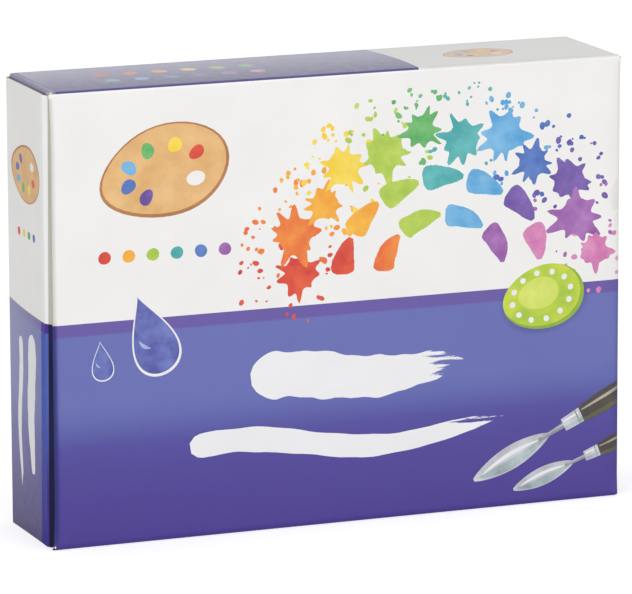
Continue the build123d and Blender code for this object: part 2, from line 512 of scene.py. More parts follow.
def end_ink(n):
    """The end panel's ink, which a painted sheen pales towards the rear, and which is darkest at the foot."""
    forward = n.math("DIVIDE", n.millimetres(1), END_RUN, clamp=True)
    rise = n.math("MULTIPLY", n.math("POWER", n.math("SUBTRACT", 1.0, forward), END_CURVE), END_RISE)
    height = n.math("SUBTRACT", n.millimetres(0), rise)
    colour = ink_at_height(n, height, FRONT_INKS, END_BAND, BAND_INK)
    # Painted sheen: the ink pales towards the rear
    sheen = n.math("MULTIPLY", n.span(forward, 0.0, 1.0, 0.66, 0.0), n.span(height, 0.0, BAND_TOP, 0.25, 1.0))
    return n.mix(n.span(height, 0.0, 20.0, 0.55, 0.0), n.mix(sheen, colour, END_SHEEN), FOOT)


def top_ink_and_sheen(n):
    """Violet that pales towards the rear of the top panel: a painted sheen."""
    rearward = n.math("SUBTRACT", n.millimetres(1), front_start + top_z - 2 * long_fold)
    # Painted sheen: paler towards the rear
    colour = n.mix(n.span(rearward, 0.0, back_y - front_y), rgb(36, 24, 116), rgb(188, 186, 214))
    return n.mix(n.span(rearward, 0.9, 1.9, 1.0, 0.0), colour, rgb(92, 80, 146))


def dry_brush(under, start, end):
    """White paint that breaks into streaks towards the end of its stroke, over another ink."""
    def ink(n):
        run = n.span(n.millimetres(0), start, end)
        streak = n.noise(n.position(), 60, 4, 0.65, stretch=(0.08, 1, 1))
        fine = n.noise(n.position(), 420, 3, 0.7)
        ragged = n.math("ADD", n.math("MULTIPLY", streak, 0.85), n.math("MULTIPLY", fine, 0.22))
        bare = n.math("GREATER_THAN", n.math("MULTIPLY", n.math("POWER", run, 2.2), 0.62), ragged)
        return n.mix(bare, rgb(239, 239, 240), under(n))
    return ink


def board_inside():
    """The unprinted side of the board, a warm grey with short fibres."""
    n = Nodes("board_inside")
    place = n.position()
    fibres = n.noise(place, 300, 4, 0.7, stretch=(1, 0.25, 1))
    specks = n.math("GREATER_THAN", n.noise(place, 420, 1), 0.70)
    colour = n.mix(n.span(fibres), rgb(178, 168, 152), rgb(203, 195, 181))
    colour = n.mix(n.math("MULTIPLY", specks, 0.5), colour, rgb(120, 106, 90))
    return n.finish(colour, 0.82, n.bump(fibres, 0.3, 0.00006), Specular_IOR_Level=0.3)


def raw_edge(name, dark, pale):
    """The cut edge of the board, rough with fibres."""
    n = Nodes(name)
    fibres = n.noise(n.position(), 700, 4, 0.8)
    colour = n.mix(n.span(fibres), dark, pale)
    return n.finish(colour, 0.9, n.bump(fibres, 0.5, 0.0001), Specular_IOR_Level=0.2)


def moulded(name, colour, rough, transmission, weight=0.0):
    """Moulded plastic with faint flow marks."""
    n = Nodes(name)
    place = n.own_place()
    flow = n.noise(place, 60, 3, 0.55, stretch=(1, 0.3, 1))
    tint = n.mix(n.span(flow, d=0.12), colour, rgb(205, 210, 216))
    roughness = n.span(n.noise(place, 360, 2), c=rough, d=rough + 0.1)
    normal = n.bump(n.noise(place, 720, 2), 0.08, 0.00005)
    return n.finish(tint, roughness, normal, Transmission_Weight=transmission, IOR=1.49,
                    Subsurface_Weight=weight, Subsurface_Scale=0.002)


def gouache(name, colour):
    """Thick wet paint: smooth soft ripples and a moist sheen."""
    n = Nodes(name)
    place = n.own_place()
    swirl = n.noise(place, 90, 4, 0.6)
    darker = tuple(value * 0.72 for value in colour[:3]) + (1.0,)
    tint = n.mix(n.span(swirl, d=0.45), colour, darker)
    rough = n.span(n.noise(place, 220, 2), c=0.22, d=0.40)
    return n.finish(tint, rough, n.bump(swirl, 0.5, 0.0008), IOR=1.45)


def glue():
    n = Nodes("dried_glue")
    place = n.own_place()
    colour = n.mix(n.noise(place, 400), rgb(226, 214, 186), rgb(240, 234, 216))
    return n.finish(colour, 0.5, n.bump(n.noise(place, 900), 0.3, 0.0001))


# Paint colours, by the first part of their slots
PAINTS = {
    "lemon": rgb(247, 228, 60), "yellow": rgb(250, 190, 30), "orange": rgb(240, 125, 30),
    "red": rgb(205, 40, 36), "crimson": rgb(158, 24, 70), "violet": rgb(92, 56, 140),
    "ultramarine": rgb(36, 54, 150), "sky_blue": rgb(84, 168, 222), "green": rgb(34, 134, 76),
    "brown": rgb(98, 60, 36), "black": rgb(28, 28, 30), "white": rgb(246, 246, 243),
}

# Inks of the printed motifs: red, green and blue of the two tones that mottle into each other. The
# first twelve follow the rainbow.
INKS = {
    "ink_red": (208, 44, 34, 233, 92, 52), "ink_orange": (232, 98, 36, 245, 148, 52),
    "ink_amber": (242, 156, 30, 250, 190, 60), "ink_yellow": (246, 206, 40, 250, 226, 96),
    "ink_lime": (160, 196, 56, 196, 216, 92), "ink_green": (72, 164, 88, 120, 192, 112),
    "ink_teal": (52, 160, 160, 98, 188, 190), "ink_sky": (72, 158, 214, 128, 190, 230),
    "ink_blue": (50, 92, 178, 92, 130, 200), "ink_violet": (92, 62, 152, 130, 98, 180),
    "ink_plum": (140, 74, 158, 178, 120, 190), "ink_pink": (206, 110, 170, 226, 156, 198),
    "ink_badge": (162, 198, 50, 206, 220, 58), "ink_badge_rim": (126, 162, 34, 148, 184, 46),
    "ink_white": (240, 240, 238, 232, 232, 238), "ink_dark": (50, 44, 40, 78, 68, 58),
    "ink_silver": (176, 178, 184, 214, 216, 220), "ink_drop": (70, 72, 158, 112, 126, 196),
    "ink_drop_light": (150, 160, 214, 190, 198, 232), "ink_badge_light": (200, 218, 78, 220, 230, 112),
    "ink_wood": (222, 170, 104, 236, 192, 130), "ink_wood_dark": (168, 108, 58, 188, 128, 74),
    "ink_steel": (128, 132, 142, 160, 164, 172), "ink_dark_shine": (150, 142, 128, 196, 190, 176),
    "ink_steel_shade": (136, 152, 156, 186, 202, 204), "ink_dark_under": (74, 72, 50, 100, 98, 68),
}

# The printed slots: their ink, the painted shade colour it darkens to where the wear value is below 0, and
# their gloss
PRINTS = {
    "print_white": (plain(PAPER),),
    # Painted light: the ends' white is a little brighter than the paper
    "print_side": (plain(rgb(246, 245, 242)),),
    # Painted highlight: the brightest white, on the light strip by each tuck fold
    "print_bright": (plain(rgb(250, 250, 249)),),
    # Painted shade of the narrow gaps, on white
    "print_shaded": (plain(rgb(192, 189, 178), rgb(199, 196, 187)), PAINTED_SHADE_PAPER, 0.1),
    "print_front": (shaded_front_ink, PAINTED_SHADE_INK),
    "print_end": (end_ink, PAINTED_SHADE_INK),
    "print_back": (back_ink, PAINTED_SHADE_INK),
    # The top's violet pales towards the rear as a painted sheen
    "print_top": (top_ink_and_sheen, PAINTED_SHADE_INK, 0.30),
    # Painted shade: deeper inks on the tuck flap's fold and on the strip beside it
    "print_fold": (fold_shade_ink(FOLD_SHADE_INKS, rgb(72, 46, 146)), PAINTED_SHADE_INK, 0.15),
    "print_near_fold": (fold_shade_ink(NEAR_FOLD_SHADE_INKS, rgb(50, 22, 140)), PAINTED_SHADE_INK, 0.15),
    # Painted shade of the narrow gaps, on violet
    "print_deep": (plain(rgb(24, 24, 54), rgb(34, 34, 74)), PAINTED_SHADE_INK, 0.1),
    # Painted sheen on the left top crease, then painted shade in its crease line
    "print_dust": (plain(rgb(124, 121, 158), rgb(134, 132, 166)), PAINTED_SHADE_INK, 0.3),
    "print_crease": (plain(rgb(74, 66, 124), rgb(84, 76, 134)), PAINTED_SHADE_INK, 0.3),
    "print_violet": (plain(DEEP, rgb(90, 78, 155), 3.0), PAINTED_SHADE_INK),
    "stroke_bold": (dry_brush(front_ink, *BOLD),),
    "stroke_fine": (dry_brush(front_ink, *FINE),),
    "stroke_end": (dry_brush(end_ink, 42.0, 13.0),),
    "stroke_back": (dry_brush(back_ink, 38.0, -45.0),),
}

# The slots of bare board, glue and plastic, and what makes their material
OTHERS = {
    "board_inside": board_inside,
    "raw_edge": lambda: raw_edge("raw_edge", CORE, rgb(206, 198, 186)),
    # Painted shade: the raw edge in the front's violet zone is dark blue
    "edge_inked": lambda: raw_edge("edge_inked", rgb(32, 36, 94), rgb(60, 64, 126)),
    "glue": glue,
    "jar_plastic": lambda: moulded("clear_plastic", rgb(244, 247, 249), 0.07, 0.94),
    "lid_plastic": lambda: moulded("white_plastic", rgb(238, 239, 241), 0.28, 0.0, 0.25),
}

@cache
def material(slot):
    """The material of a slot, made when it is first asked for."""
    if slot in INKS:
        ink = plain(rgb(*INKS[slot][:3]), rgb(*INKS[slot][3:]), 14.0)
        return printed(slot, ink, PAINTED_SHADE_INK if slot.startswith("ink_dark") else PAINTED_SHADE_PAPER)
    if slot in PRINTS:
        return printed(slot, *PRINTS[slot])
    if slot in OTHERS:
        return OTHERS[slot]()
    paint = slot.removesuffix("_paint")
    return gouache("gouache_" + paint, PAINTS[paint])


def place_loop(loop, centre, scale=1.0, turn=0.0):
    c, s = cos(turn), sin(turn)
    return [(centre[0] + scale * (x * c - y * s), centre[1] + scale * (x * s + y * c)) for x, y in loop]


def placed(motifs, centre, scale=1.0, turn=0.0):
    return [(place_loop(loop, centre, scale, turn), ink) for loop, ink in motifs]


def blob(cx, cy, rx, ry, wobble, turn=0.0, count=26):
    """A closed, slightly uneven round loop."""
    a, b = uniform(0, 6.28), uniform(0, 6.28)
    loop = []
    for angle in turns(count):
        size = 1 + wobble * (sin(2 * angle + a) + 0.6 * sin(3 * angle + b))
        loop.append((rx * size * cos(angle), ry * size * sin(angle)))
    return place_loop(loop, (cx, cy), 1.0, turn)


def ribbon(line, widths, rough=0.0):
    """A brush stroke round a centre line, as wide at each of its points as widths says."""
    left, right = [], []
    for i, (x, y) in enumerate(line):
        xa, ya = line[max(i - 1, 0)]
        xb, yb = line[min(i + 1, len(line) - 1)]
        run = hypot(xb - xa, yb - ya)
        nx, ny = -(yb - ya) / run, (xb - xa) / run
        for store, half in ((left, widths[i] / 2), (right, -widths[i] / 2)):
            store.append((x + nx * half * (1 + uniform(-rough, rough)),
                          y + ny * half * (1 + uniform(-rough, rough))))
    return left + right[::-1]


def stroke(x0, x1, y, wave, width, count=60, blunt=0.1):
    """A long wavy stroke that starts round and full and ends thinner."""
    line, widths = [], []
    for i in range(count):
        share = i / (count - 1)
        line.append((x0 + (x1 - x0) * share, y + wave * sin(tau * 1.1 * share + 0.6)))
        start = abs(x1 - x0) * (share + 0.004) / width / 0.62
        cap = sqrt(max(0.0, 1 - (1 - min(1.0, start)) ** 2))
        ragged = 1 + 0.045 * sin(23 * share + x0) + 0.03 * sin(51 * share + y)
        widths.append(width * cap * ragged * (1 - 0.62 * share ** 3) * min(1, blunt + 9 * (1 - share)))
    return ribbon(line, widths, 0.012)


# The rainbow's colours in order
FAN = list(INKS)[:12]


def splat(cx, cy, radius, fingers=9):
    """A blot of paint with short fingers, and the drops that flew off them."""
    arms = [(tau * (i + uniform(-0.3, 0.3)) / fingers, uniform(0.12, 0.75),
             uniform(0.10, 0.20)) for i in range(fingers)]
    loop = []
    for angle in turns(72):
        size = 0.82 + 0.06 * sin(3 * angle + cx)
        for place, reach, wide in arms:
            away = (angle - place + pi) % tau - pi
            size += reach * exp(-(away / wide) ** 2)
        loop.append((cx + radius * size * cos(angle), cy + radius * size * sin(angle)))
    drops = []
    for place, reach, _ in arms:
        for _ in range(2):
            angle = place + uniform(-0.25, 0.25)
            far = radius * (1.05 + reach) + uniform(0.8, 4.0)
            size = uniform(0.25, 0.85)
            x, y = cx + far * cos(angle), cy + far * sin(angle)
            drops.append(blob(x, y, size * 1.25, size, 0.08, angle, 10))
    return loop, drops


def arch_point(share, reach):
    """A point of a low arch over the right of the white zone, for a share of the way from left to right."""
    angle = pi * (1 - share)
    return 29.0 + 1.16 * reach * cos(angle), 66.0 + reach * sin(angle)


def arch_dab(begin, end, reach, wide):
    """A touch of the brush that follows the arch, round where it starts and dry where it ends."""
    line = [arch_point(share, reach) for share in evenly(begin, end, 22)]
    widths = []
    for share in evenly(0, 1, 22):
        cap = sqrt(max(0.0, 1 - (1 - min(1.0, (share + 0.015) / 0.14)) ** 2))
        widths.append(wide * cap * (1 - 0.82 * share ** 2.6) * (1 + 0.05 * sin(9 * share + reach)))
    return ribbon(line, widths, 0.03)


def rainbow():
    """Blots of paint in a wide arch, in the order of the rainbow, over two rings of brush touches."""
    motifs, sprays = [], []
    count = len(FAN)
    for i, ink in enumerate(FAN):
        x, y = arch_point(0.015 + 0.97 * i / (count - 1), 36.0 + (1.8 if i % 2 else -1.2))
        loop, drops = splat(x, y, 5.2 + 0.8 * sin(2.1 * i))
        sprays += [(drop_loop, ink) for drop_loop in drops]
        motifs.append((loop, ink))
        for _ in range(8):
            px, py = arch_point(i / (count - 1) + uniform(-0.04, 0.04), uniform(43.0, 50.0))
            size = uniform(0.2, 0.7)
            if abs(px) < 76 and 61 < py < 117:
                sprays.append((blob(px, py, size * 1.2, size, 0.08, uniform(0, 3), 10), ink))
    for reach, parts, wide in ((24.5, 7, 6.4), (14.5, 4, 6.0)):
        for i in range(parts):
            begin, end = (i + 0.06) / parts, (i + 0.96) / parts
            ink = FAN[round((i + 0.5) / parts * count - 0.5)]
            motifs.append((arch_dab(begin, end, reach + 0.7 * sin(3 * i), wide), ink))
    return sprays + motifs


def palette(centre, scale, turn=0.0):
    """A plain painter's palette with a ring of dabs."""
    body = [(15 * cos(a) * (1 + 0.06 * sin(2 * a + 0.5)),
             10.2 * sin(a) * (1 + 0.10 * cos(a - 0.4))) for a in turns(40)]
    rim = [(1.045 * x, 1.06 * y - 0.25) for x, y in body]
    hole = [(7.2 + 2.3 * cos(a), -3.4 + 1.7 * sin(a)) for a in turns(18)]
    motifs = [(rim, "ink_wood_dark"), (body, "ink_wood"), (hole, "print_white")]
    for i, ink in enumerate(("ink_red", "ink_yellow", "ink_green", "ink_sky", "ink_blue", "ink_violet")):
        a = radians(25 + 42 * i)
        motifs.append((blob(9.4 * cos(a), 6.0 * sin(a), 1.9, 1.6, 0.08, a, 16), ink))
    return placed(motifs, centre, scale, turn)


def swatches(x0, y0, pitch_x, pitch_y, columns, rows, size, inks):
    """Rows of round dots, whose inks follow each other."""
    motifs = []
    for i in range(rows * columns):
        row, column = divmod(i, columns)
        dot = blob(x0 + column * pitch_x, y0 - row * pitch_y, size, size, 0.03, 0.0, 20)
        motifs.append((dot, inks[i % len(inks)]))
    return motifs


def badge(centre, radius):
    """A lime pebble with a ring of twelve white dots, one for each jar."""
    def oval(size, dx=0.0, dy=0.0):
        return [(dx + size * radius * BADGE_WIDE * cos(a),
                 dy + size * radius * (BADGE_HIGH + 0.10 * cos(a)) * sin(a)) for a in turns(60)]

    motifs = [(oval(1.0, 0.5, -0.6), "ink_badge_rim"), (oval(0.96), "ink_badge"),
              (oval(0.50, -0.08 * radius, 0.10 * radius), "ink_badge_light")]
    dot = 0.088 * radius
    for a in turns(12):
        x, y = 0.93 * radius * cos(a), 0.69 * radius * sin(a)
        motifs.append((blob(x, y, dot, dot, 0.02, 0.0, 14), "ink_white"))
    return placed(motifs, centre, 1.0, BADGE_TURN)


def drop(centre, size, turn):
    """A falling drop of paint with a light on its side."""
    body = [(size * sin(a) * sin(a / 2) ** 1.5, size * 1.25 * cos(a)) for a in turns(48)]
    edge = [(1.09 * x, 1.07 * y) for x, y in body]
    curve = [0.1 + 0.12 * i for i in range(10)]
    shine = ribbon([(-0.42 * size * cos(a), -0.42 * size * sin(a)) for a in curve],
                   [0.11 * size * sin(pi * (i + 0.6) / 10.4) for i in range(10)])
    return placed([(edge, "ink_white"), (body, "ink_drop"), (shine, "ink_drop_light")], centre, 1.0, turn)


def knife(tip, heel, wide):
    """A palette knife: a steel blade, a cranked neck and a dark wooden handle."""
    (x0, y0), (x1, y1) = tip, heel
    run = hypot(x1 - x0, y1 - y0)
    ux, uy = (x1 - x0) / run, (y1 - y0) / run

    def steady(k):
        return k

    def swell(k):
        return sin(pi * k) ** 0.8

    def grip(k):
        return 0.70 + 0.30 * sin(pi * k) - 0.55 * k ** 4

    # Each strip: where it starts and ends, its width and its shift aside, each with a gain, the form
    # that both gains follow, and its ink
    strips = [
        (0, 0.42, 0.14, 0.90, 0, 0, swell, "ink_silver"),
        (0.02, 0.40, 0.02, 0.40, 0, -0.26, swell, "ink_steel_shade"),
        (0.05, 0.36, 0.03, 0.15, 0, 0.16, swell, "ink_white"),
        (0.36, 0.52, 0.16, 0.10, 0, 0, steady, "ink_steel"),
        (0.38, 0.51, 0.05, 0, 0.04, 0, steady, "ink_silver"),
        (0.58, 1, 0, 1, 0, 0, grip, "ink_dark"),
        (0.58, 1, 0, 0.22, 0, -0.36, grip, "ink_dark_under"),
        (0.61, 0.96, 0.05, 0.09, 0.18, 0, swell, "ink_dark_shine"),
        (0.50, 0.60, 0.58, 0.10, 0, 0, steady, "ink_silver"),
        (0.50, 0.60, 0.18, 0, -0.19, 0, steady, "ink_steel_shade"),
        (0.51, 0.59, 0.10, 0, 0.14, 0, steady, "ink_white"),
        (0.575, 0.582, 0.66, 0, 0, 0, steady, "ink_steel"),
    ]
    motifs = []
    for a, b, width, widening, shift, shifting, form, ink in strips:
        line, widths = [], []
        for k in evenly(0, 1, 14):
            along, aside = run * (a + (b - a) * k), wide * (shift + shifting * form(k))
            line.append((x0 + ux * along - uy * aside, y0 + uy * along + ux * aside))
            widths.append(wide * (width + widening * form(k)))
        motifs.append((ribbon(line, widths), ink))
    return motifs


def front_motifs():
    motifs = rainbow()
    motifs += palette((-48.5, 97.5), 1.12, 0.18)
    motifs += swatches(-65, 76, 6.6, 0, 6, 1, 1.7, FAN[::2])
    motifs += badge(*BADGE)
    motifs += drop((-52.5, 55), 8.6, 0.35)
    motifs += drop((-66, 49), 4, 0.1)
    motifs += [(stroke(*BOLD, 40, 1.3, 12.5), "stroke_bold"),
               (stroke(*FINE, 22.5, 2.4, 6.6), "stroke_fine")]
    motifs += knife((38, 8), (90, 33.5), 6.2)
    motifs += knife((49.5, 4.4), (91, 19), 4.8)
    return motifs


def sleeve():
    """The folded board round the jars, from its free edge under the back to its glue flap."""
    bottom = seam_y - front_y - long_fold
    front = top_z - 2 * long_fold
    top = back_y - front_y - 2 * long_fold
    back = top_z - lip_level - 2 * long_fold
    runs = [("flat", bottom, 0), ("bend", long_fold, -90), ("flat", front, 0), ("bend", long_fold, -90),
            ("flat", top, 0), ("bend", long_fold, -90), ("flat", back, 0), ("bend", long_fold, -90),
            ("flat", glue_flap - long_fold, 0)]
    fold = Fold((seam_y, 0), 180, runs, -1)
    arc = long_arc
    front_end = front_start + front
    top_start = front_end + arc
    back_start = top_start + top + arc
    flap_start = back_start + back + arc

    # How far the front panel reaches out, and the part of the back whose edges carry the end panels
    front_left, front_right, corner_reach, hollow = side_x - 0.75, side_x - 0.1, 0.6, 0.12
    crease_low = back_start + end_low - long_fold
    crease_high = flap_start - arc - end_low + lip_level + long_fold
    gap = 0.02
    front_low, front_high = bottom + gap, top_start - gap

    def half(front_edge):
        return [
            (dust_root, 0.0), (dust_root, bottom), *front_edge, (dust_root, top_start),
            (dust_root, top_start + top), (sleeve_end, top_start + top + gap), (sleeve_end, back_start - gap),
            (sleeve_end, crease_low), (side_x - end_fold, crease_low), (side_x - end_fold, crease_high),
            (sleeve_end, crease_high), (sleeve_end, flap_start - arc), (dust_root, flap_start),
            (dust_root - glue_taper, flap_start + glue_flap - long_fold),
        ]

    # The front panel's raw edge is straight at the right, and reaches farther out at its corners at the left
    def left_at(t):
        k = (t - front_low) / (front_high - front_low)
        corner = abs(2 * k - 1) ** 12
        return front_left + corner_reach * corner - hollow * (1 - corner)

    heights = dense_ends(front_low, front_high)
    left_edge = [(left_at(t), t) for t in heights]
    right_edge = [(dust_x, front_low), (front_right, front_low + arc * 0.7),
                  (front_right, front_high - arc * 0.8), (dust_x, front_high)]
    outline = half(right_edge) + [(-x, t) for x, t in reversed(half(left_edge))]

    # Where the print changes: over the front, across its top fold, over the top and down the back
    front_line = BAND_TOP - RISE
    fold_line = front_end + arc * 0.3
    rear_line = top_start + top + arc / 2
    back_line = back_start + (top_z - long_fold - BAND_TOP)

    def violet_end(t):
        rearward = (t - fold_line) / (rear_line - fold_line)
        return 22.2 - 1.8 * rearward + 1.6 * sin(pi * rearward)

    zones = [(front_start - arc / 2, "print_violet"), (front_line, "print_front"), (fold_line, "print_white"),
             (rear_line, "print_top"), (back_line, "print_white"), (flap_start - arc / 2, "print_back"),
             (inf, "board_inside")]

    def base(centre):
        slot = next(slot for end, slot in zones if centre.y < end)
        return "print_white" if slot == "print_top" and centre.x > violet_end(centre.y) else slot

    breaks = [front_line, back_line, fold_line]
    slant = [(violet_end(t), t) for t in evenly(fold_line, rear_line, 12)]
    # Mesh lines for the painted shade by the front's left edge
    shade_lines = [[(away - left_at(t), t) for t in heights] for away in (0.3, 0.7, 1.2, 1.8)]
    motifs = placed(front_motifs(), (0.0, -RISE))
    # Painted sheen and shade on the top's left crease: a pale strip, then a dark line
    crease, crease_width = 1.0 - dust_root, 0.35
    for a, b, ink in ((-dust_root, crease, "print_dust"), (crease, crease + crease_width, "print_crease")):
        motifs.append(([(a, fold_line), (b, fold_line), (b, rear_line), (a, rear_line)], ink))
    middle = top_start + top / 2
    motifs += swatches(-58, middle + 4.5, 8, 9, 6, 2, 2.1, FAN)
    motifs += palette((46, middle), 0.62)
    motifs += swatches(-60, back_start + 34, 17, -14, 6, 2, 4.4, FAN)
    motifs += [(stroke(30, -30, back_line + 20, 1.1, 11), "stroke_back"),
               (stroke(42, -47, back_line + 36, 1.6, 5), "stroke_back")]
    motifs += palette((58, back_start + 14), 0.7, pi)

    # Where a panel starts, its length and the depth of its bow. The front's side edges turn in a little more.
    swells = (front_start, front, 0.30), (back_start, back, 0.30), (top_start, top, 0.12)
    turn_start, turn_width, turn_depth, turn_run = sleeve_end - 1.2, 1.6, 0.34, 4.0

    def bow(x, t):
        swell = 0.0
        for begin, run, depth in swells:
            if begin < t < begin + run:
                u, v = (t - begin) / run, min(1.0, abs(x) / sleeve_end)
                swell = depth * (4 * u * (1 - u)) * (1 - 0.55 * v ** 4)
        if front_start < t < front_end and abs(x) > turn_start:
            share = min(1.0, (abs(x) - turn_start) / turn_width)
            ends = min(1.0, (t - front_start) / turn_run, (front_end - t) / turn_run)
            swell += turn_depth * share ** 2 * ends
        return swell

    # Rubbed corners: across, along, size and how much the middle is rubbed
    left_corner = -front_left - 0.2
    corners = [(left_corner, front_start - arc, 0.5, 0.72), (left_corner, front_start, 0.5, 0.72),
               (left_corner, top_start - arc * 0.4, 1.3, 0.9),
               (front_right, front_high - arc * 0.9, 0.6, 1.1)]
    corners += [(s * sleeve_end, t, 0.8, 0.72) for s in (-1, 1) for t in (back_start - arc, back_start)]

    def wear_and_shade(x, t):
        rubbed = max(most * exp(-(hypot(x - cx, t - ct) / size) ** 2) for cx, ct, size, most in corners)
        for begin in (front_start - arc, back_start - arc, flap_start - arc):
            if begin <= t <= begin + arc:
                rubbed = max(rubbed, 0.30)
        # Painted shade: the white over the top's front fold is darkened a little, to tone down the light it
        # catches
        if rubbed < 0.2 and top_start - arc < t < top_start:
            return -0.14 if x > violet_end(t) else 0.0
        if rubbed > 0.2 or not front_start <= t <= front_end:
            return rubbed
        # Painted shade: the print darkens towards the front's left edge by the gap, towards its right edge
        # and along its base
        inward = x + left_at(t)
        if t > front_line:
            left = 0.85 * max(0.0, 1 - inward / 1.3) ** 1.3
        else:
            away = min(1.0, max(0.0, (inward - 0.3) / 1.2))
            left = 0.93 * (1 - away * away * (3 - 2 * away))
        right = 0.5 * exp(-((front_right - x) / 0.5) ** 2)
        base_edge_shade = 0.35 * exp(-((t - front_start) / 0.5) ** 2)
        return -max(left, right, base_edge_shade)

    def edge(middle):
        # Painted shade on the raw edge of the front's violet zone
        return "edge_inked" if front_start - arc < middle.y < front_line and middle.x < 0 else "raw_edge"

    obj = sheet("carton_sleeve_board", fold, lambda x, a, b: (x, a, b), outline, base, motifs, breaks,
                [slant] + shade_lines, bow, wear_and_shade, edge, (-sleeve_end, front_right))
    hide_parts("carton_sleeve")
    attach(obj, "carton")


def end_panel(side, sign):
    """An end panel with its crease on the back panel."""
    flat = back_y - end_fold - (tuck_y + fold_back)
    fold = Fold((-side_x + end_fold, back_y), 180, [("bend", end_fold, 90), ("flat", flat, 0)], 1)
    arc = pi / 2 * end_fold
    lower, upper = end_foot, top_z - end_low
    outline = [(lower, 0.0), (upper, 0.0), (upper, fold.length), (lower, fold.length)]
    strip_foot, strip_top = 4.8, 1.2

    def level(t):
        return BAND_TOP + END_RISE * (1 - t / fold.length) ** END_CURVE

    def near_fold(z):
        """Where the strip of painted light and shade beside the tuck flap's fold begins, which narrows
        towards the top.
        """
        return fold.length - strip_foot + (strip_foot - strip_top) * z / top_z

    def base(centre):
        # Painted light and shade: a bright or deep strip beside the tuck flap's fold, and a brighter white on
        # the rest of the end
        if centre.y > near_fold(centre.x):
            return "print_bright" if centre.x > level(centre.y) else "print_near_fold"
        return "print_side" if centre.x > level(centre.y) else "print_end"

    def bow(z, t):
        u, v = min(1, max(0, (t - arc) / flat)), abs(z / top_z - 0.5) * 2
        return 0.18 * 4 * u * (1 - u) * (1 - 0.5 * v ** 4)

    def wear_and_shade(z, t):
        end = min(z - lower, upper - z)
        return 0.42 * exp(-end / 0.5) + (0.25 if t < arc else 0.0)

    band_line = [(level(t), t) for t in evenly(0, fold.length, 16)]
    strip_line = [(z, near_fold(z)) for z in dense_ends(lower, upper)]
    middle = arc + flat / 2
    motifs = palette((96, middle), 0.70, pi / 2)
    dots = ["ink_red", "ink_yellow", "ink_green", "ink_blue"]
    motifs += swatches(80, middle - 6, 0, -4, 1, 4, 1.1, dots)
    motifs += [(stroke(54, 17, middle + 2.4, 0.7, 6.2, 40, 0.8), "stroke_end"),
               (stroke(52, 12, middle - 6.6, 0.9, 3, 40, 0.8), "stroke_end")]

    obj = sheet(f"{side}_end_board", fold, lambda z, a, b: (-sign * a, b, z), outline, base, motifs, [],
                [band_line, strip_line], bow, wear_and_shade, step=6.0)
    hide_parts(f"{side}_end_panel")
    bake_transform(obj)


def tuck_flap(side, sign):
    """A tuck flap with the soft fold that joins it to its end panel."""
    run = side_x - fold_in - tuck_tip
    runs = [("bend", crease_bend, crease_turn), ("flat", crease_flat, 0),
            ("bend", soft_bend, 90 - crease_turn), ("flat", run, 0)]
    fold = Fold((-side_x, tuck_y + fold_back), 270, runs, 1)
    arc = fold.length - run
    lock, slit, corner, drawn_in = 6.0, 0.35, 6.0, 0.15
    lower, upper = end_foot, top_z - end_low
    tip = fold.length
    shade_end = arc + 2.5
    gap_foot, gap_top = 0.65, 2.0
    half = [(tuck_low, arc * 0.75), (tuck_low, arc)]
    half += [(tuck_low + lock, arc), (tuck_low + lock, arc + slit), (tuck_low, arc + slit)]
    half += [(tuck_low + corner * (1 - cos(a)), tip - corner * (1 - sin(a))) for a in evenly(0, pi / 2, 8)]
    outline = [(lower, 0.0), (lower, arc * 0.35)] + half
    outline += [(top_z - z, t) for z, t in reversed(half)]
    outline += [(upper - drawn_in, arc * 0.35), (upper - drawn_in, 0.6), (upper, 0.0)]

    def hidden(z):
        """Where the painted shade of the gap begins, farther in towards the top."""
        return gap_foot + (gap_top - gap_foot) * (z - lower) / (upper - lower)

    def base(centre):
        # Painted shade: the flap is darker where the gap hides it, grey on white and dark blue on violet
        in_gap = hidden(centre.x) < centre.y < shade_end
        if centre.x > BAND_TOP:
            return "print_shaded" if in_gap else "print_bright"
        return "print_deep" if in_gap else "print_fold"

    band_line = [(BAND_TOP, 0.0), (BAND_TOP, tip)]
    gap_line = [(z, hidden(z)) for z in dense_ends(lower, upper)]

    def wear_and_shade(z, t):
        end = min(z - lower, upper - z)
        return 0.45 * exp(-max(end, 0) / 0.45) + (0.16 if t < arc else 0.1)

    obj = sheet(f"{side}_tuck_board", fold, lambda z, a, b: (-sign * a, b, z), outline, base, (), [shade_end],
                [band_line, gap_line], None, wear_and_shade, step=6.0)
    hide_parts(f"{side}_tuck_flap")
    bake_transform(obj)


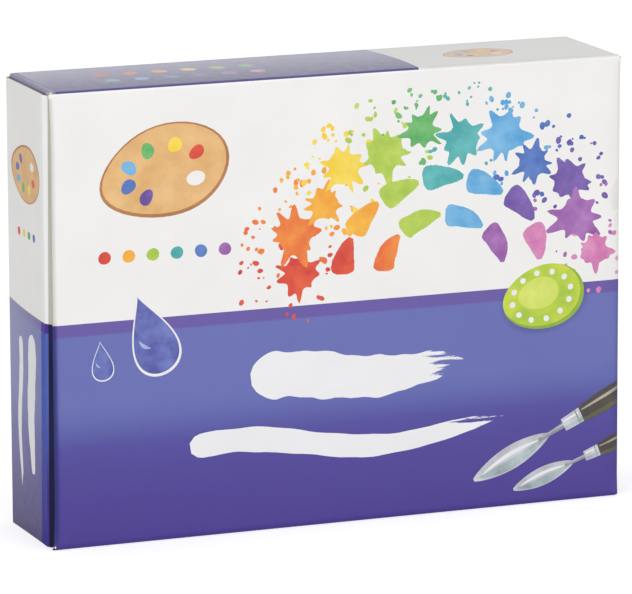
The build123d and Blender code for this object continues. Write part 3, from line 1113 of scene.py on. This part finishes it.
def dust_flap(side, sign, level):
    """A dust flap with its crease on the top or the bottom panel."""
    drop_length = top_z - dust_fold - dust_tip
    fold = Fold((-dust_root, top_z), 180, [("bend", dust_fold, 90), ("flat", drop_length, 0)], 1)
    arc = pi / 2 * dust_fold
    tip = fold.length
    neck = tuck_y + tuck_fold
    shoulder = arc + 0.3
    rear = back_y - 1.0
    fall = tip - shoulder
    front_slope, rear_slope = radians(5), radians(30)
    front_tip = neck + fall * tan(front_slope)
    rear_tip = rear - fall * tan(rear_slope)
    # The bottom flap leaves room in front for the foot of the tuck flap's fold
    root = [(front_y + long_fold, 0.0), (front_y + long_fold, shoulder)] if level == "top" else [(neck, 0.0)]
    outline = root + [(neck, shoulder),
                      (front_tip, tip - 3.0), (front_tip + 0.9, tip - 0.9), (front_tip + 3.0, tip),
                      (rear_tip - 3.0, tip), (rear_tip - 0.4, tip - 0.8), (rear_tip + 1.5, tip - 3.2),
                      (rear, shoulder), (rear, 0.0)]
    # Painted light on the crease, then painted shade of the gap below it
    shade_line, shade_end = arc + 0.35, arc + 1.9
    inks = ["print_violet"] * 3
    if level == "top":
        inks = (["print_dust", "print_deep", "print_violet"] if sign < 0 else
                ["print_white", "print_shaded", "print_white"])

    def base(centre):
        return inks[0] if centre.y < shade_line else inks[1 if centre.y < shade_end else 2]

    def wear_and_shade(y, t):
        end = min(abs(y - root[0][0]), abs(rear - y))
        return 0.55 * exp(-end / 0.7) + (0.25 if t < arc else 0.05)

    def to_space(y, a, b):
        return -sign * a, y, (b if level == "top" else top_z - b)

    obj = sheet(f"{side}_{level}_dust_board", fold, to_space, outline, base, (), [shade_line, shade_end],
                wear_and_shade=wear_and_shade, step=5.0)
    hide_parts(f"{side}_{level}_dust_flap")
    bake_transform(obj)


def dress_nodes():
    """The jars, lids, paints and glue keep their solids and get their finish."""
    for entry in frame["record"]["subparts"]:
        if entry["material_slot"] != "board":
            materials = frame["nodes"][entry["node"]].data.materials
            materials.clear()
            materials.append(material(entry["material_slot"]))


# Camera fitted to the photograph: its turn, and the base centre of the carton as it sees it
IMAGE_WIDTH = 632
FOCAL_PIXELS = 5500
YAW, PITCH, ROLL = -0.37372, 0.20465, -0.00359
BASE_IN_VIEW = Vector((0.38564, 56.3077, 1464.898))


def camera():
    turn = Matrix.Rotation(ROLL, 3, "Z") @ Matrix.Rotation(PITCH, 3, "X") @ Matrix.Rotation(YAW, 3, "Y")
    turn = turn @ Matrix(((1, 0, 0), (0, 0, -1), (0, 1, 0)))
    data = bpy.data.cameras.new("camera")
    data.sensor_width = 36.0
    data.lens = FOCAL_PIXELS / IMAGE_WIDTH * data.sensor_width
    data.clip_end = 50.0
    obj = add_object("camera", data)
    axes = Matrix((turn[0], -turn[1], -turn[2])).transposed()
    obj.matrix_world = Matrix.Translation(-(turn.transposed() @ BASE_IN_VIEW) * MM) @ axes.to_4x4()
    bpy.context.scene.camera = obj


# The pale floor: half its side in metres, its tone, and how much brighter the camera sees it
FLOOR_REACH = 12.0
FLOOR_TONE = 0.86
FLOOR_LIFT = 0.56

# The light from all round, and two soft lamps: name, place in metres, power in watts and width in metres
SKY_LIGHT = 0.47
LAMPS = (("key", (0.9, -1.9, 0.35), 17.0, 1.2), ("side", (-1.6, -1.2, 0.25), 22.0, 1.2))
LAMP_AIM = Vector((0, 0, 0.06))


def studio():
    """A plain pale floor and soft light from all round, a little stronger from the front."""
    white = rgb(255, 255, 255)
    n = Nodes("floor")
    camera_ray = n.add("LightPath").outputs["Is Camera Ray"]
    paint = n.finish((FLOOR_TONE, FLOOR_TONE, FLOOR_TONE, 1), 0.9, Emission_Color=white,
                     Emission_Strength=n.math("MULTIPLY", camera_ray, FLOOR_LIFT))
    mesh = bpy.data.meshes.new("floor")
    corners = [(x * FLOOR_REACH, y * FLOOR_REACH, 0) for x, y in ((-1, -1), (1, -1), (1, 1), (-1, 1))]
    mesh.from_pydata(corners, [], [(0, 1, 2, 3)])
    mesh.materials.append(paint)
    floor = add_object("floor", mesh)

    # What the camera, a mirror or a clear surface sees of the world is white, above the light it gives
    world = bpy.data.worlds.new("studio")
    bpy.context.scene.world = world
    n = Nodes("studio", world, "Background")
    rays = n.add("LightPath").outputs
    seen = n.math("MAXIMUM", rays["Is Camera Ray"], rays["Is Glossy Ray"])
    seen = n.math("MAXIMUM", seen, rays["Is Transmission Ray"])
    n.fill(n.shader, Color=white, Strength=n.span(seen, 0.0, 1.0, SKY_LIGHT, 1.0))

    for name, place, power, size in LAMPS:
        light = bpy.data.lights.new(name, "AREA")
        light.energy = power
        light.size = size
        lamp = add_object(name, light)
        lamp.location = place
        lamp.rotation_euler = (LAMP_AIM - Vector(place)).to_track_quat("-Z", "Y").to_euler()
    bpy.context.scene.view_settings.view_transform = "Standard"


sleeve()
for side, sign in (("left", -1), ("right", 1)):
    end_panel(side, sign)
    tuck_flap(side, sign)
    for level in ("top", "bottom"):
        dust_flap(side, sign, level)
dress_nodes()
camera()
studio()
